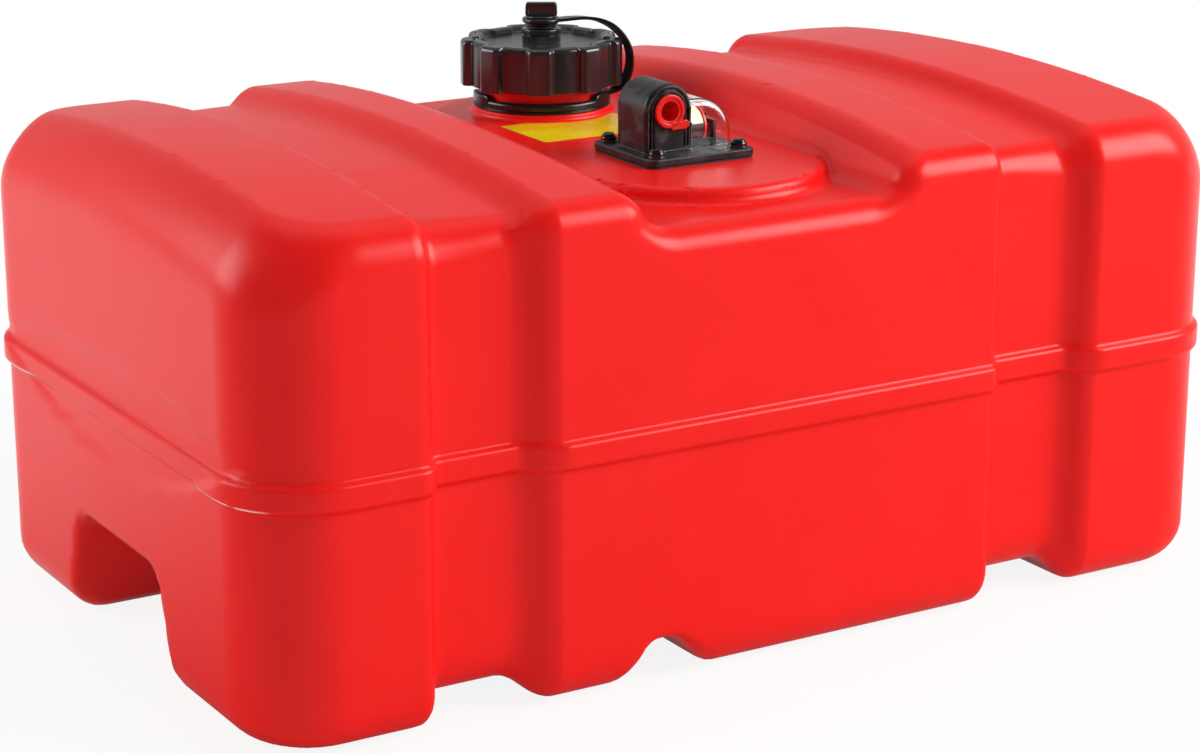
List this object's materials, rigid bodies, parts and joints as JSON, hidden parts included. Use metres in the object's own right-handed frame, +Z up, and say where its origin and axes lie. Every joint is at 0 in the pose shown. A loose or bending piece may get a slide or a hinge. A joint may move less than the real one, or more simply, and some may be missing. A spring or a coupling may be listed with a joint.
{
  "type": "portable marine fuel tank",
  "caption": "Low red moulded fuel tank with banded sides, a lobed screw cap with vent screw, and a float gauge unit with a plugged fuel port.",
  "frame": {"origin": "bottom centre of the overall box, on the surface the tank stands on", "axes": "+X along the tank's length, +Y across it towards the filler's side, +Z up"},
  "size_m": [0.584, 0.36, 0.3023],
  "materials": {
    "tank_red": "satin moulded polyethylene",
    "cap_black": "fine-textured black plastic",
    "seal_rubber": "soft fuel-proof rubber",
    "tether_plastic": "flexible black plastic",
    "housing_black": "fine-textured black plastic",
    "lens_clear": "clear moulded plastic",
    "movement_white": "off-white plastic",
    "pin_steel": "drawn steel wire",
    "drum_cream": "cream plastic",
    "float_foam": "closed-cell rubber",
    "clip_steel": "spring steel",
    "tube_plastic": "off-white plastic",
    "strainer_plastic": "black plastic",
    "plug_red": "soft red plastic",
    "screw_black": "black-coated steel",
    "insert_brass": "turned brass",
    "label_yellow": "printed film, left bare"
  },
  "bodies": {
    "tank": {"tank_shell": "tank_red", "cap_tether": "tether_plastic", "gauge_housing": "housing_black", "gauge_gasket": "seal_rubber", "gauge_lens": "lens_clear", "gauge_bracket": "movement_white", "drum_pin": "pin_steel", "sector_pin": "pin_steel", "pickup_tube": "tube_plastic", "pickup_strainer": "strainer_plastic", "gauge_screws": "screw_black", "screw_inserts": "insert_brass", "info_label": "label_yellow"},
    "neck_seal": {"cap_gasket": "seal_rubber"},
    "cap": {"filler_cap": "cap_black"},
    "vent_ring": {"vent_seal": "seal_rubber"},
    "vent": {"vent_screw": "cap_black"},
    "float": {"sector_gear": "movement_white", "float_arm": "pin_steel", "float_body": "float_foam", "float_clips": "clip_steel"},
    "drum": {"indicator_drum": "drum_cream"},
    "plug": {"port_plug": "plug_red"}
  },
  "joints": [
    {"name": "cap_rise", "type": "slide", "parent": "tank", "child": "neck_seal", "axis": [0, 0, 1], "range_m": [0, 0.009], "deforming": ["cap_tether"]},
    {"name": "cap_turn", "type": "hinge", "parent": "neck_seal", "child": "cap", "pos_m": [0.004, 0.075, 0.27], "axis": [0, 0, 1], "range_deg": [0, 540]},
    {"name": "vent_rise", "type": "slide", "parent": "cap", "child": "vent_ring", "axis": [0, 0, 1], "range_m": [0, 0.0015]},
    {"name": "vent_turn", "type": "hinge", "parent": "vent_ring", "child": "vent", "pos_m": [0.004, 0.075, 0.285], "axis": [0, 0, 1], "range_deg": [0, 540]},
    {"name": "float_swing", "type": "hinge", "parent": "tank", "child": "float", "pos_m": [0.0143, -0.062, 0.2265], "axis": [1, 0, 0], "range_deg": [0, 68]},
    {"name": "drum_turn", "type": "hinge", "parent": "tank", "child": "drum", "pos_m": [0.0143, -0.062, 0.2545], "axis": [1, 0, 0], "range_deg": [-170, 0]},
    {"name": "plug_pull", "type": "slide", "parent": "tank", "child": "plug", "axis": [0, -1, 0], "range_m": [0, 0.02]}
  ],
  "couplings": [
    {"joint": "cap_turn", "follows": "cap_rise", "rad_per_m": 1047.2},
    {"joint": "vent_turn", "follows": "vent_rise", "rad_per_m": 6283.2},
    {"joint": "drum_turn", "follows": "float_swing", "ratio": -2.5}
  ]
}
